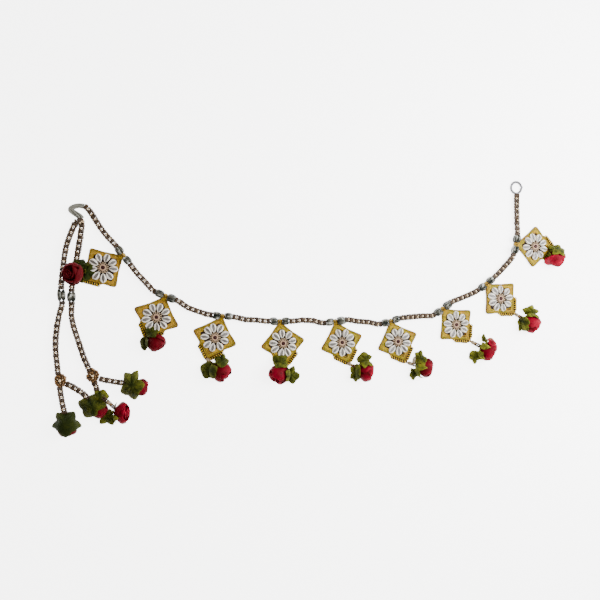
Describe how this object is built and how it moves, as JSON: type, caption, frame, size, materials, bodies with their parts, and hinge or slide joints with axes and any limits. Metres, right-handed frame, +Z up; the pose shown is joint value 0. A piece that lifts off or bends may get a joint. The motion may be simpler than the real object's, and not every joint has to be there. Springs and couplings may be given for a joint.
{
  "type": "toran door hanging",
  "caption": "Beaded toran door hanging laid flat: a bead string with square brocade tiles, shell daisies and fabric roses.",
  "frame": {"origin": "middle of the bounding box, on the surface that the toran lies on", "axes": "+X along the toran from the loop end to the ring end, +Y to the side of the loop and the ring (the top when hung), +Z up from the surface, out of the tiles' faces"},
  "size_m": [1.0452, 0.5068, 0.0383],
  "materials": {
    "bead_string": "glossy brown barrel beads and pearly cream-gold beads in turn",
    "glass_beads": "clear grey-green, polished",
    "brocade": "gold-yellow metallic brocade on board, with glossy shells and bead trim",
    "shells": "glossy white",
    "gold_beads": "shiny gold-brown",
    "rose_satin": "red satin",
    "leaf_cloth": "matt olive green cloth",
    "grey_cord": "matt twisted cord",
    "ring_wire": "wire wound with pale grey thread"
  },
  "bodies": {
    "root": {"hanger_1": "glass_beads", "hanger_2": "glass_beads", "hanger_3": "glass_beads", "hanger_4": "glass_beads", "hanger_5": "glass_beads", "hanger_6": "glass_beads", "hanger_7": "glass_beads", "hanger_8": "glass_beads", "hanger_9": "glass_beads", "glass_left": "glass_beads", "glass_right": "glass_beads", "string_0": "bead_string", "string_1": "bead_string", "string_2": "bead_string", "string_3": "bead_string", "string_4": "bead_string", "string_5": "bead_string", "string_6": "bead_string", "string_7": "bead_string", "string_8": "bead_string", "string_9": "bead_string", "strand_left_upper": "bead_string", "strand_left_lower": "bead_string", "strand_right_upper": "bead_string", "strand_right_lower": "bead_string", "drop_left_down": "bead_string", "drop_left_across": "bead_string", "drop_right_down": "bead_string", "drop_right_across": "bead_string", "tile_1": "brocade", "tile_2": "brocade", "tile_3": "brocade", "tile_4": "brocade", "tile_5": "brocade", "tile_6": "brocade", "tile_7": "brocade", "tile_8": "brocade", "tile_9": "brocade", "rose_1": "rose_satin", "rose_2": "rose_satin", "rose_3": "rose_satin", "rose_4": "rose_satin", "rose_5": "rose_satin", "rose_6": "rose_satin", "rose_7": "rose_satin", "rose_8": "rose_satin", "rose_9": "rose_satin", "end_rose_1": "rose_satin", "end_rose_2": "rose_satin", "end_rose_3": "rose_satin", "end_rose_4": "rose_satin", "rosette_left": "gold_beads", "rosette_right": "gold_beads", "hanging_loop": "grey_cord", "hanging_ring": "ring_wire"}
  },
  "joints": []
}
